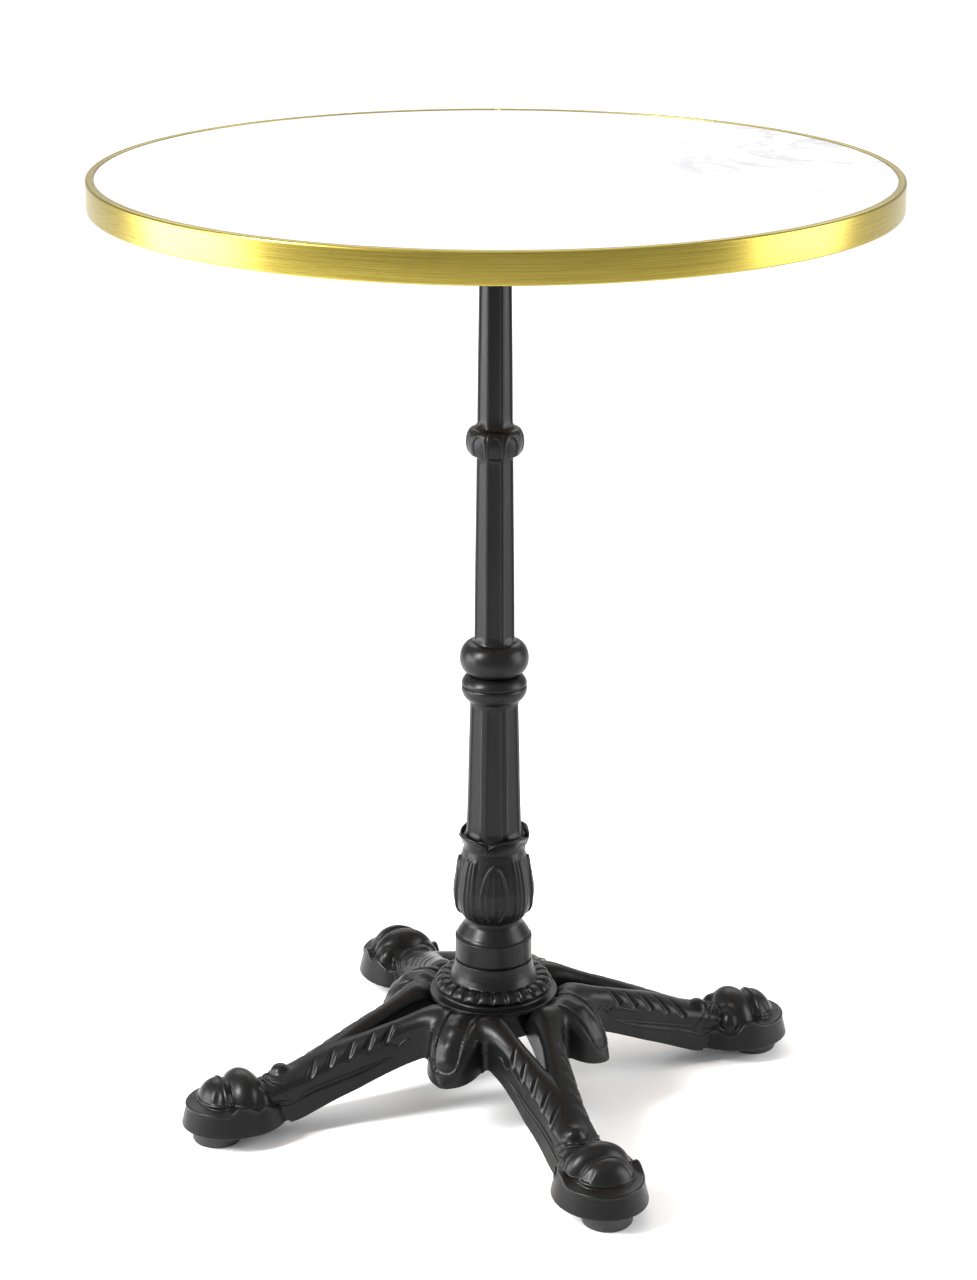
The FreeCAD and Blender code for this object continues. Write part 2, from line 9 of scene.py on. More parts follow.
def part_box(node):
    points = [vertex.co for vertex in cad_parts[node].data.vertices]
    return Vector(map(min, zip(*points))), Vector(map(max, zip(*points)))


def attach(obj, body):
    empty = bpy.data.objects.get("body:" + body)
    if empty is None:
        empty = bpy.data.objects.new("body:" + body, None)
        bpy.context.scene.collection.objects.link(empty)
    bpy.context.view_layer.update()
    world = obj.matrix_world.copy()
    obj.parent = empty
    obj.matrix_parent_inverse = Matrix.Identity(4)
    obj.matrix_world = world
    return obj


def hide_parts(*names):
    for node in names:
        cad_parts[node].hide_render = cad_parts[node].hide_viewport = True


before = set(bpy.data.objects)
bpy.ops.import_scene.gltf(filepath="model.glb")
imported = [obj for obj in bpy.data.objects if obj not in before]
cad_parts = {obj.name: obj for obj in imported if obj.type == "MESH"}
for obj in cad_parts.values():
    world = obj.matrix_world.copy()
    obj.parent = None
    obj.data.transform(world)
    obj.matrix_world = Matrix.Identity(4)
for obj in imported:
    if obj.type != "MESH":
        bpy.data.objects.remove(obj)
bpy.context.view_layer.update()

MM = 0.001
BEARING_OF_VIEWER = math.radians(248.48)   # bearing, from the table's axis, of the camera
CAMERA_DISTANCE = 2301.0                   # mm, level, from the table's axis
CAMERA_HEIGHT = 1146.8                     # mm above the floor


# ---------------------------------------------------------------- meshes

def new_object(name, vertices, faces, material, smooth=True):
    """A mesh object from vertices in millimetres."""
    mesh = bpy.data.meshes.new(name)
    points = np.asarray(vertices, float) * MM
    mesh.from_pydata(points.tolist(), [], [list(map(int, face)) for face in faces])
    mesh.validate()
    mesh.update()
    if smooth:
        mesh.polygons.foreach_set("use_smooth", [True] * len(mesh.polygons))
    obj = bpy.data.objects.new(name, mesh)
    bpy.context.scene.collection.objects.link(obj)
    mesh.materials.append(material)
    return obj


def place(obj, nodes, body="table"):
    """Make a piece stand for CAD nodes."""
    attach(obj, body)
    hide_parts(*nodes)


def ring_faces(rows, columns):
    """Quads between successive rings of a turned surface; the last ring joins the first."""
    faces = []
    for i in range(rows):
        below = i * columns
        above = ((i + 1) % rows) * columns
        for j in range(columns):
            k = (j + 1) % columns
            faces.append((below + j, below + k, above + k, above + j))
    return faces


def smooth_step(low, high, value):
    """0 up to low, 1 from high on, easing between; low may be the larger, for a falling step."""
    t = np.clip((value - low) / (high - low), 0.0, 1.0)
    return t * t * (3 - 2 * t)


def resample(points, spacing):
    """Points along an open polyline at an even spacing, keeping every corner."""
    out = [tuple(points[0])]
    for a, b in zip(points[:-1], points[1:]):
        start, step = np.array(a, float), np.subtract(b, a)
        count = max(1, int(round(np.linalg.norm(step) / spacing)))
        out += [tuple(start + step * i / count) for i in range(1, count + 1)]
    return np.array(out)


def arc(centre, radius, start, end, count):
    """Points on an arc of a profile, angles in degrees from outward, upward positive."""
    return [(centre[0] + radius * math.cos(math.radians(start + (end - start) * i / count)),
             centre[1] + radius * math.sin(math.radians(start + (end - start) * i / count)))
            for i in range(count + 1)]


def bulge(bottom, top, reach, count=14):
    """An elliptical bead from one profile point up to another, standing out by reach."""
    middle_r = (bottom[0] + top[0]) / 2
    return [(bottom[0] + (top[0] - bottom[0]) * (1 - math.cos(math.pi * i / count)) / 2
             + (reach - middle_r) * math.sin(math.pi * i / count),
             bottom[1] + (top[1] - bottom[1]) * (1 - math.cos(math.pi * i / count)) / 2)
            for i in range(count + 1)]


def turned_grid(profile, columns, shape):
    """Vertices of a profile (radius, height) turned about Z, each point moved by shape."""
    profile = np.asarray(profile, float)
    angle = np.arange(columns) * 2 * math.pi / columns
    radius = np.repeat(profile[:, 0][:, None], columns, axis=1)
    height = np.repeat(profile[:, 1][:, None], columns, axis=1)
    radius, height = shape(radius, height, angle[None, :])
    x = radius * np.cos(angle)[None, :]
    y = radius * np.sin(angle)[None, :]
    return np.stack([x, y, height], axis=-1).reshape(-1, 3)


# ---------------------------------------------------------------- materials

def node_material(name):
    """A new material with its node tree and its shader."""
    material = bpy.data.materials.new(name)
    material.use_nodes = True
    tree = material.node_tree
    shader = tree.nodes["Principled BSDF"]
    return material, tree, shader


def noise(tree, vector, scale, detail=3.0, roughness=0.5, distortion=0.0):
    node = tree.nodes.new("ShaderNodeTexNoise")
    node.inputs["Scale"].default_value = scale
    node.inputs["Detail"].default_value = detail
    node.inputs["Roughness"].default_value = roughness
    node.inputs["Distortion"].default_value = distortion
    tree.links.new(vector, node.inputs["Vector"])
    return node.outputs["Fac"]


def ramp(tree, value, stops):
    """A colour ramp; each stop is (position, (r, g, b))."""
    node = tree.nodes.new("ShaderNodeValToRGB")
    elements = node.color_ramp.elements
    while len(elements) < len(stops):
        elements.new(0.5)
    for element, (position, colour) in zip(elements, stops):
        element.position = position
        element.color = (*colour, 1.0)
    tree.links.new(value, node.inputs["Fac"])
    return node.outputs["Color"]


def spread(tree, value, low, high):
    """Map 0..1 onto low..high."""
    node = tree.nodes.new("ShaderNodeMapRange")
    node.inputs["To Min"].default_value = low
    node.inputs["To Max"].default_value = high
    tree.links.new(value, node.inputs["Value"])
    return node.outputs["Result"]


def mix(tree, factor, first, second):
    node = tree.nodes.new("ShaderNodeMix")
    node.data_type = "RGBA"
    tree.links.new(factor, node.inputs["Factor"])
    for socket, source in ((node.inputs[6], first), (node.inputs[7], second)):
        if isinstance(source, tuple):
            socket.default_value = (*source, 1.0)
        else:
            tree.links.new(source, socket)
    return node.outputs[2]


def bump(tree, shader, height, strength, distance_mm):
    node = tree.nodes.new("ShaderNodeBump")
    node.inputs["Strength"].default_value = strength
    node.inputs["Distance"].default_value = distance_mm * MM
    tree.links.new(height, node.inputs["Height"])
    tree.links.new(node.outputs["Normal"], shader.inputs["Normal"])


def object_coordinates(tree):
    return tree.nodes.new("ShaderNodeTexCoord").outputs["Object"]


def cast_black():
    """Black powder coat over a slightly grainy cast skin."""
    material, tree, shader = node_material("cast_black")
    where = object_coordinates(tree)
    grain = noise(tree, where, 900.0, 2.0, 0.6)
    pebble = noise(tree, where, 240.0, 3.0, 0.55)
    drift = noise(tree, where, 14.0, 3.0, 0.5)
    tone = ramp(tree, drift, [(0.3, (0.0030, 0.0031, 0.0034)), (0.7, (0.0052, 0.0054, 0.0058))])
    tree.links.new(tone, shader.inputs["Base Color"])
    tree.links.new(spread(tree, pebble, 0.25, 0.39), shader.inputs["Roughness"])
    both = tree.nodes.new("ShaderNodeMath")
    both.operation = "MULTIPLY_ADD"
    both.inputs[1].default_value = 0.45
    tree.links.new(grain, both.inputs[0])
    tree.links.new(pebble, both.inputs[2])
    bump(tree, shader, both.outputs[0], 0.35, 0.25)
    shader.inputs["Specular IOR Level"].default_value = 0.19
    return material


def marble_white():
    """Honed white marble with broad soft clouds and thin broken grey-lilac veins."""
    material, tree, shader = node_material("marble_white")
    where = object_coordinates(tree)
    turned = tree.nodes.new("ShaderNodeMapping")
    turned.inputs["Rotation"].default_value = (0.0, 0.0, 0.9)
    turned.inputs["Scale"].default_value = (1.0, 2.2, 1.0)
    tree.links.new(where, turned.inputs["Vector"])
    veins = noise(tree, turned.outputs["Vector"], 2.6, 9.0, 0.62, 1.4)
    line = ramp(tree, veins, [(0.476, (0, 0, 0)), (0.497, (1, 1, 1)), (0.518, (0, 0, 0))])
    broken = ramp(tree, noise(tree, where, 3.4, 2.0, 0.5), [(0.47, (0, 0, 0)), (0.66, (1, 1, 1))])
    clouds = noise(tree, where, 4.0, 6.0, 0.6)
    ground = ramp(tree, clouds, [(0.35, (0.60, 0.595, 0.60)), (0.62, (0.66, 0.655, 0.655))])
    strength = tree.nodes.new("ShaderNodeMath")
    strength.operation = "MULTIPLY"
    tree.links.new(line, strength.inputs[0])
    tree.links.new(broken, strength.inputs[1])
    soft = tree.nodes.new("ShaderNodeMath")
    soft.operation = "MULTIPLY"
    soft.inputs[1].default_value = 0.55
    tree.links.new(strength.outputs[0], soft.inputs[0])
    colour = mix(tree, soft.outputs[0], ground, (0.25, 0.235, 0.28))
    tree.links.new(colour, shader.inputs["Base Color"])
    polish = noise(tree, where, 60.0, 4.0, 0.6)
    tree.links.new(spread(tree, polish, 0.26, 0.38), shader.inputs["Roughness"])
    bump(tree, shader, polish, 0.04, 0.1)
    return material


def around_coordinates(tree):
    """Bearing, radius and height as one vector, for grain that runs round the table's edge."""
    where = object_coordinates(tree)
    split = tree.nodes.new("ShaderNodeSeparateXYZ")
    tree.links.new(where, split.inputs[0])
    bearing = tree.nodes.new("ShaderNodeMath")
    bearing.operation = "ARCTAN2"
    tree.links.new(split.outputs["Y"], bearing.inputs[0])
    tree.links.new(split.outputs["X"], bearing.inputs[1])
    length = tree.nodes.new("ShaderNodeVectorMath")
    length.operation = "LENGTH"
    flat = tree.nodes.new("ShaderNodeCombineXYZ")
    tree.links.new(split.outputs["X"], flat.inputs["X"])
    tree.links.new(split.outputs["Y"], flat.inputs["Y"])
    tree.links.new(flat.outputs[0], length.inputs[0])
    joined = tree.nodes.new("ShaderNodeCombineXYZ")
    tree.links.new(bearing.outputs[0], joined.inputs["X"])
    tree.links.new(length.outputs["Value"], joined.inputs["Y"])
    tree.links.new(split.outputs["Z"], joined.inputs["Z"])
    return joined.outputs[0]


def brushed_brass():
    """Lacquered brass brushed along the band, a little darker where it has tarnished."""
    material, tree, shader = node_material("brushed_brass")
    around = around_coordinates(tree)
    stretch = tree.nodes.new("ShaderNodeMapping")
    stretch.inputs["Scale"].default_value = (3.0, 1800.0, 1800.0)
    tree.links.new(around, stretch.inputs["Vector"])
    brushing = noise(tree, stretch.outputs["Vector"], 1.0, 4.0, 0.6)
    stains = noise(tree, object_coordinates(tree), 22.0, 4.0, 0.6)
    clean = ramp(tree, brushing, [(0.3, (0.29, 0.225, 0.040)), (0.7, (0.43, 0.340, 0.070))])
    tarnish = ramp(tree, stains, [(0.55, (0, 0, 0)), (0.85, (0.5, 0.5, 0.5))])
    colour = mix(tree, tarnish, clean, (0.22, 0.165, 0.04))
    tree.links.new(colour, shader.inputs["Base Color"])
    shader.inputs["Metallic"].default_value = 1.0
    tree.links.new(spread(tree, brushing, 0.20, 0.36), shader.inputs["Roughness"])
    bump(tree, shader, brushing, 0.25, 0.04)
    return material


def zinc_plate():
    """Zinc plating with a faint spangle."""
    material, tree, shader = node_material("zinc_plate")
    where = object_coordinates(tree)
    spangle = noise(tree, where, 180.0, 3.0, 0.6)
    tone = ramp(tree, spangle, [(0.3, (0.45, 0.45, 0.44)), (0.7, (0.62, 0.62, 0.60))])
    tree.links.new(tone, shader.inputs["Base Color"])
    shader.inputs["Metallic"].default_value = 1.0
    tree.links.new(spread(tree, spangle, 0.28, 0.45), shader.inputs["Roughness"])
    bump(tree, shader, spangle, 0.2, 0.05)
    return material


def plywood():
    """Sanded plywood with long grain across its face."""
    material, tree, shader = node_material("plywood")
    where = object_coordinates(tree)
    stretch = tree.nodes.new("ShaderNodeMapping")
    stretch.inputs["Scale"].default_value = (3.0, 60.0, 60.0)
    tree.links.new(where, stretch.inputs["Vector"])
    grain = noise(tree, stretch.outputs["Vector"], 1.6, 6.0, 0.65, 0.6)
    colour = ramp(tree, grain, [(0.30, (0.30, 0.18, 0.09)), (0.50, (0.47, 0.31, 0.17)),
                                (0.72, (0.58, 0.41, 0.25))])
    tree.links.new(colour, shader.inputs["Base Color"])
    tree.links.new(spread(tree, grain, 0.55, 0.75), shader.inputs["Roughness"])
    bump(tree, shader, grain, 0.2, 0.2)
    return material


def moulded_black():
    """Moulded black plastic with a fine matt texture and scuffs."""
    material, tree, shader = node_material("moulded_black")
    where = object_coordinates(tree)
    fine = noise(tree, where, 1400.0, 2.0, 0.5)
    scuffs = noise(tree, where, 60.0, 5.0, 0.7, 0.8)
    tone = ramp(tree, scuffs, [(0.45, (0.012, 0.012, 0.013)), (0.75, (0.026, 0.025, 0.024))])
    tree.links.new(tone, shader.inputs["Base Color"])
    tree.links.new(spread(tree, fine, 0.5, 0.68), shader.inputs["Roughness"])
    bump(tree, shader, fine, 0.25, 0.08)
    return material


CAST = cast_black()
MARBLE = marble_white()
BRASS = brushed_brass()
ZINC = zinc_plate()
WOOD = plywood()
PLASTIC = moulded_black()


# ---------------------------------------------------------------- top

def band_profile(low, high):
    """Section of the brass band: a wall with a lip over the marble and one under the board."""
    outer = high.x / MM
    top, bottom = high.z / MM, low.z / MM
    gauge, lip, lower_lip, corner, lower_corner = 0.8, 6.0, 5.0, 2.0, 1.4
    profile = [(outer - lip, top - gauge), (outer - lip, top - 0.35),
               (outer - lip + 0.35, top - 0.05), (outer - lip + 0.9, top)]
    profile += arc((outer - corner, top - corner), corner, 90, 0, 8)
    profile += arc((outer - lower_corner, bottom + lower_corner), lower_corner, 0, -90, 6)
    profile += [(outer - lower_lip, bottom), (outer - lower_lip, bottom + gauge),
                (outer - gauge - 0.4, bottom + gauge), (outer - gauge, bottom + gauge + 0.4),
                (outer - gauge, top - gauge - 0.5), (outer - gauge - 0.5, top - gauge)]
    return profile


def make_band():
    """The band, with its butt seam as a hairline gap at the back of the table."""
    low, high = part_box("brass_band")
    profile = band_profile(low, high)
    columns = 360
    seam = 0.25 / 300.0   # half the gap over the table's radius, in radians
    seam_bearing = BEARING_OF_VIEWER + math.pi
    angles = seam_bearing + seam + (2 * math.pi - 2 * seam) * np.arange(columns) / (columns - 1)
    vertices, faces = [], []
    for radius, height in profile:
        for angle in angles:
            vertices.append((radius * math.cos(angle), radius * math.sin(angle), height))
    rows = len(profile)
    for i in range(rows):
        k = (i + 1) % rows
        for j in range(columns - 1):
            faces.append((i * columns + j, i * columns + j + 1,
                          k * columns + j + 1, k * columns + j))
    faces.append([i * columns for i in range(rows)])
    faces.append([i * columns + columns - 1 for i in reversed(range(rows))])
    band = new_object("brass_band_rolled", vertices, faces, BRASS)
    place(band, ["brass_band"])


# ---------------------------------------------------------------- column

def angle_from_viewer(angle):
    """Bearing measured from the side that faces the camera, from -pi to pi."""
    return (angle - BEARING_OF_VIEWER + math.pi) % (2 * math.pi) - math.pi


def from_nearest(angle, period):
    """Bearing measured from the nearest of the lines that repeat every period from zero."""
    return (angle + period / 2) % period - period / 2


def flute_depth(angle, count, radius, depth, land):
    """How far a fluted surface lies inside its arrises; flute middles face the camera."""
    period = 2 * math.pi / count
    across = np.abs(from_nearest(angle_from_viewer(angle), period)) / (period / 2)
    edge = 1 - land / (radius * period / 2)
    inside = np.clip(across / edge, 0, 1)
    return depth * np.sqrt(np.clip(1 - inside ** 2, 0, 1))


SHAFT_FLUTES = 8
RING_PANELS = 10
GADROONS = 24
QUARTER = math.pi / 2
NECK_TOP = 118.4       # the column stands on the hub here
COLUMN_JOINT = 357.5   # the upper column stands on the lower one here
BORE = 7.5             # radius of the hole for the tie rod


def shape_upper(radius, height, angle):
    """Flutes on the shaft and arched panels on the ring."""
    shaft = np.maximum(smooth_step(384.5, 388.0, height) * smooth_step(531.0, 528.0, height),
                       smooth_step(555.0, 558.0, height))
    flutes = flute_depth(angle, SHAFT_FLUTES, radius, 1.5, 1.1)
    radius = radius - shaft * flutes
    ring = smooth_step(531.5, 533.0, height) * smooth_step(554.0, 552.5, height)
    period = 2 * math.pi / RING_PANELS
    turn = np.abs(from_nearest(angle_from_viewer(angle), period)) / (period / 2)
    middle, reach = 541.0, 8.5
    lift = np.clip((height - middle) / reach, -1.2, 1.2)
    spread_out = np.where(lift > 0, np.sqrt(np.clip(1 - lift ** 2, 0, 1)), 1.0)
    panel = smooth_step(0.78 * spread_out + 0.08, 0.78 * spread_out - 0.12, turn)
    panel = panel * smooth_step(-1.05, -0.75, lift) * smooth_step(1.05, 0.9, lift)
    valley = smooth_step(0.86, 1.0, turn)
    radius = radius - ring * (panel * 1.1 * (1 - 0.25 * turn) + 0.35 * valley)
    return radius, height


def make_column_upper():
    low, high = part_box("column_upper")
    joint, top = low.z / MM, high.z / MM
    outside = [(BORE, joint), (18.2, joint)]
    outside += bulge((18.6, joint + 0.4), (17.6, joint + 25.5), 26.8, 22)
    outside += [(16.9, joint + 26.2), (16.4, joint + 27.5)]
    outside += list(resample([(16.4, 386.0), (16.05, 428.0), (15.2, 488.0), (14.7, 529.0)], 2.0))
    outside += [(14.7, 530.0), (15.1, 531.3), (16.8, 532.0)]
    outside += bulge((17.6, 532.2), (17.4, 552.6), 22.2, 30)[1:]
    outside += [(16.0, 553.2), (14.9, 553.9), (14.3, 555.5)]
    outside += list(resample([(14.2, 557.0), (13.75, 602.0), (12.95, 659.0),
                              (12.1, top - 0.4)], 3.0))
    outside += [(11.8, top), (BORE, top)]
    columns = 240
    vertices = turned_grid(outside, columns, shape_upper)
    faces = ring_faces(len(outside), columns)
    piece = new_object("column_upper_cast", vertices, faces, CAST)
    place(piece, ["column_upper"])


def leaf_relief(angle, height):
    """Relief of the leaf vase in mm: four almond leaves with ribbed leaves between them."""
    low, high = 153.5, 210.0
    up = np.clip((height - low) / (high - low), 0, 1)
    degrees = np.degrees(from_nearest(angle_from_viewer(angle) - 0.02, QUARTER))
    almond_half = 21.0 * np.sqrt(np.clip(1 - ((up - 0.42) / 0.50) ** 2, 0, 1)) \
        * (0.55 + 0.45 * smooth_step(0.0, 0.35, up))
    edge = almond_half - np.abs(degrees)
    almond = smooth_step(-1.2, 1.2, edge)
    rim = np.exp(-((edge - 1.4) / 1.5) ** 2)
    vein = np.exp(-(degrees / 1.6) ** 2)
    side_vein = np.exp(-((np.abs(degrees) - almond_half * 0.52) / 1.7) ** 2)
    relief = almond * 0.6 + rim * 0.55 * almond - almond * (1 - rim) * 0.35
    relief = relief + almond * (0.35 * vein + 0.30 * side_vein) * smooth_step(0.04, 0.2, up)
    beside = 45.0 - np.abs(degrees)
    rib_half = 14.5 - 2.0 * np.abs(up - 0.5)
    leaf = smooth_step(-1.5, 1.5, rib_half - beside)
    crown = np.clip(1 - (beside / rib_half) ** 2, 0, 1)
    groove = np.exp(-(beside / 1.3) ** 2)
    second = np.exp(-((beside - rib_half * 0.55) / 1.3) ** 2)
    relief = relief + leaf * (0.45 + 0.75 * crown - 0.75 * groove - 0.28 * second)
    return relief * smooth_step(0.0, 0.1, up) * smooth_step(1.0, 0.93, up)


def shape_lower(radius, height, angle):
    """Flutes, curled leaf lip and leaf vase of the lower column."""
    shaft = smooth_step(224.5, 229.0, height) * smooth_step(334.0, 330.5, height)
    radius = radius - shaft * flute_depth(angle, SHAFT_FLUTES, radius, 1.6, 2.2)
    turn = (angle_from_viewer(angle) + math.radians(10.5)) % QUARTER
    crest = np.abs(np.sin(2 * turn)) ** 0.45
    lip = smooth_step(212.0, 219.0, height) * smooth_step(240.0, 232.0, height) \
        * smooth_step(23.4, 25.0, radius)
    vase = smooth_step(153.0, 157.0, height) * smooth_step(211.0, 206.0, height)
    radius = radius - 0.9 * vase + 1.5 * vase * leaf_relief(angle, height)
    radius = radius - lip * (1 - crest) * 2.4 * smooth_step(24.5, 27.0, radius)
    radius = radius + lip * np.cos(8 * turn) * 0.4
    height = height - lip * (1 - crest) * 7.0 + lip * crest * 0.8
    return radius, height


def make_column_lower():
    foot, joint = NECK_TOP + 0.2, COLUMN_JOINT
    outside = [(17.55, foot + 6.0), (17.55, foot)]
    outside += list(resample([(18.0, foot), (29.9, foot), (30.4, foot + 0.6), (30.4, 136.2)], 2.0))
    outside += arc((29.4, 137.2), 1.05, -10, 100, 6)
    outside += list(resample([(28.4, 141.4), (25.4, 145.8), (23.0, 149.2), (22.2, 151.5),
                              (22.0, 153.5)], 0.8))
    outside += list(resample([(24.0, 154.8), (26.2, 156.8), (28.7, 160.0), (30.6, 164.6),
                              (31.8, 170.0), (32.15, 176.0), (31.9, 182.0), (30.5, 190.0),
                              (29.3, 197.0), (27.6, 203.0), (25.8, 208.0)], 0.6))
    outside += list(resample([(24.6, 210.6), (23.9, 213.0), (23.9, 215.5), (24.6, 218.2),
                              (26.2, 221.0), (28.0, 223.2), (28.9, 224.8), (28.6, 226.0),
                              (27.4, 226.2), (25.4, 224.6), (23.6, 223.2), (22.9, 223.0)], 0.6))
    outside += list(resample([(22.7, 224.0), (21.4, 262.0), (20.6, 295.0), (19.5, 334.0)], 2.0))
    outside += [(19.6, 335.2), (20.2, 336.2)]
    outside += bulge((20.9, 337.0), (24.0, 348.2), 25.1, 14)[1:]
    outside += bulge((24.0, 348.4), (18.6, 357.2), 24.3, 14)[1:]
    outside += [(18.0, joint), (11.5, joint), (11.5, joint + 6.0), (BORE, joint + 6.0),
                (BORE, joint - 30.0), (14.0, joint - 30.0), (14.0, foot + 6.0)]
    columns = 360
    vertices = turned_grid(outside, columns, shape_lower)
    faces = ring_faces(len(outside), columns)
    piece = new_object("column_lower_cast", vertices, faces, CAST)
    place(piece, ["column_lower"])


# ---------------------------------------------------------------- base: turned hub

def shape_hub(radius, height, angle):
    """Radial gadroons on the collar of the hub."""
    zone = smooth_step(104.2, 103.0, height) * smooth_step(96.0, 97.4, height) \
        * smooth_step(35.2, 36.6, radius)
    period = 2 * math.pi / GADROONS
    turn = np.abs(from_nearest(angle, period)) / (period / 2)
    valley = 1 - np.sqrt(np.clip(1 - np.clip(turn * 1.01, 0, 1) ** 2.6, 0, 1))
    return radius - zone * valley * 1.3, height - zone * valley * 2.4


def hub_mesh():
    """Vertices and faces of the turned hub: neck, cone, gadrooned collar, cove and flange."""
    outside = [(6.6, 95.0), (6.6, 123.0), (17.0, 123.0), (17.4, 122.6), (17.4, NECK_TOP)]
    outside += list(resample([(18.0, NECK_TOP), (30.0, NECK_TOP)], 3.0))
    outside += [(30.4, NECK_TOP - 0.15), (30.6, NECK_TOP - 0.6)]
    outside += list(resample([(30.7, NECK_TOP - 1.5), (31.3, 113.0), (32.6, 108.0),
                              (34.4, 104.2)], 1.2))
    collar = [(34.9, 103.3), (35.4, 102.9), (36.3, 103.1), (38.0, 103.5), (40.5, 103.3),
              (43.0, 102.3), (45.0, 100.7), (46.3, 98.9), (46.7, 97.6), (46.2, 96.6),
              (45.2, 96.1)]
    outside += list(resample(collar, 0.6))
    outside += list(resample([(44.5, 95.4), (44.1, 94.0), (44.3, 92.6), (45.3, 91.7),
                              (47.5, 91.2), (49.9, 91.0)], 0.7))
    outside += arc((50.2, 90.1), 0.95, 80, -80, 7)
    outside += arc((50.0, 88.4), 0.85, 70, -80, 6)
    outside += [(48.0, 87.5), (43.0, 87.2), (42.0, 86.4), (41.5, 64.0), (34.0, 63.0),
                (33.6, 64.0), (26.0, 95.0)]
    columns = 480
    vertices = turned_grid(outside, columns, shape_hub)
    return vertices, ring_faces(len(outside), columns)


# ---------------------------------------------------------------- base: sculpted legs
# The legs and tongues are one sculpted skin. Its shape is a distance field in millimetres,
# negative inside the metal; one quarter is skinned and then turned about the axis four times.

# CELL is the distance between samples of the field, WALL the thickness of the casting.
CELL = 0.85
WALL = 5.2
DIAGONAL = math.sqrt(0.5)


def join(a, b, soft):
    """Union of two fields with a fillet."""
    h = np.clip(0.5 + 0.5 * (b - a) / soft, 0, 1)
    return b + (a - b) * h - soft * h * (1 - h)


def carve(a, b, soft):
    """Field a with b taken away, with a rounded edge."""
    return -join(-a, b, soft)


def meet(a, b, soft):
    """What two fields share, with a rounded edge."""
    return -join(-a, -b, soft)


def capsule(x, y, z, start, end, start_radius, end_radius):
    """Field of a round stick that may taper."""
    axis = np.subtract(end, start)
    along = ((x - start[0]) * axis[0] + (y - start[1]) * axis[1] + (z - start[2]) * axis[2]) \
        / float(axis @ axis)
    along = np.clip(along, 0, 1)
    dx = x - start[0] - along * axis[0]
    dy = y - start[1] - along * axis[1]
    dz = z - start[2] - along * axis[2]
    return np.sqrt(dx * dx + dy * dy + dz * dz) - (start_radius + (end_radius - start_radius) * along)


def ellipsoid(x, y, z, centre, radii):
    """Field of an ellipsoid, near enough to distance close to its surface."""
    kx, ky, kz = ((x - centre[0]) / radii[0], (y - centre[1]) / radii[1], (z - centre[2]) / radii[2])
    k0 = np.sqrt(kx * kx + ky * ky + kz * kz)
    k1 = np.sqrt((kx / radii[0]) ** 2 + (ky / radii[1]) ** 2 + (kz / radii[2]) ** 2)
    return k0 * (k0 - 1) / np.maximum(k1, 1e-6)


def faired(stations, ease):
    """The stations redrawn every millimetre, their corners eased over ease millimetres."""
    at = np.array(stations, float).T
    reach = np.arange(at[0][0], at[0][-1] + 0.5)
    margin = int(3 * ease)
    window = np.exp(-0.5 * (np.arange(-margin, margin + 1) / ease) ** 2)
    window /= window.sum()
    rows = [reach]
    for row in at[1:]:
        drawn = np.pad(np.interp(reach, at[0], row), margin, "reflect", reflect_type="odd")
        rows.append(np.convolve(drawn, window, "valid"))
    return np.array(rows)


def beam_field(reach, across, z, at):
    """Field of a round-topped beam, endless downwards, and the height of its foot.

    The rows of at are reach, middle, half width, rise, crest and foot. The middle lies to one
    side of the axis, and the top is an ellipse that rises above the sides up to the crest.
    """
    middle, half, rise, crest, foot = (np.interp(reach, at[0], row) for row in at[1:])
    side = across - middle
    spring = crest - rise
    above = z - spring
    draft = np.where(side > 0, 0.105, 0.0)
    wall = np.abs(side) - half - np.clip(-above, 0, None) * draft
    k = np.sqrt((side / half) ** 2 + (np.clip(above, 0, None) / rise) ** 2)
    top = (k - 1) * np.minimum(half, rise) / np.maximum(k, 0.3) ** 0.5
    return np.where(above > 0, top, wall), foot


# Stations of the leg and the tongue: reach, middle, half width, rise, crest and foot.
LEG = faired([
    (36.0, 22.0, 12.0, 9.0, 80.0, 69.5),
    (43.0, 22.6, 12.6, 9.4, 84.5, 67.0),
    (47.0, 22.9, 12.9, 9.8, 89.5, 65.3),
    (51.0, 23.0, 13.0, 10.2, 92.8, 63.7),
    (55.0, 22.9, 12.9, 10.4, 94.2, 62.0),
    (60.0, 22.3, 12.4, 10.4, 93.6, 60.0),
    (67.0, 20.6, 11.2, 10.0, 91.4, 57.0),
    (74.0, 18.8, 10.2, 9.6, 88.3, 54.0),
    (86.0, 15.7, 9.4, 9.2, 83.5, 49.0),
    (100.0, 12.8, 10.2, 9.6, 78.8, 43.2),
    (112.0, 10.5, 11.2, 10.2, 74.3, 38.0),
    (125.0, 6.8, 13.2, 11.0, 69.6, 32.5),
    (138.0, 3.0, 15.3, 11.5, 64.6, 27.2),
    (150.0, 0.0, 17.2, 12.0, 59.6, 22.0),
    (168.0, 0.0, 17.0, 11.8, 51.6, 14.6),
    (176.0, 0.0, 16.6, 11.0, 49.4, 12.4),
    (188.0, 0.0, 16.6, 10.0, 45.0, 12.4),
    (200.0, 0.0, 17.5, 9.0, 42.0, 14.5),
], 3.0)
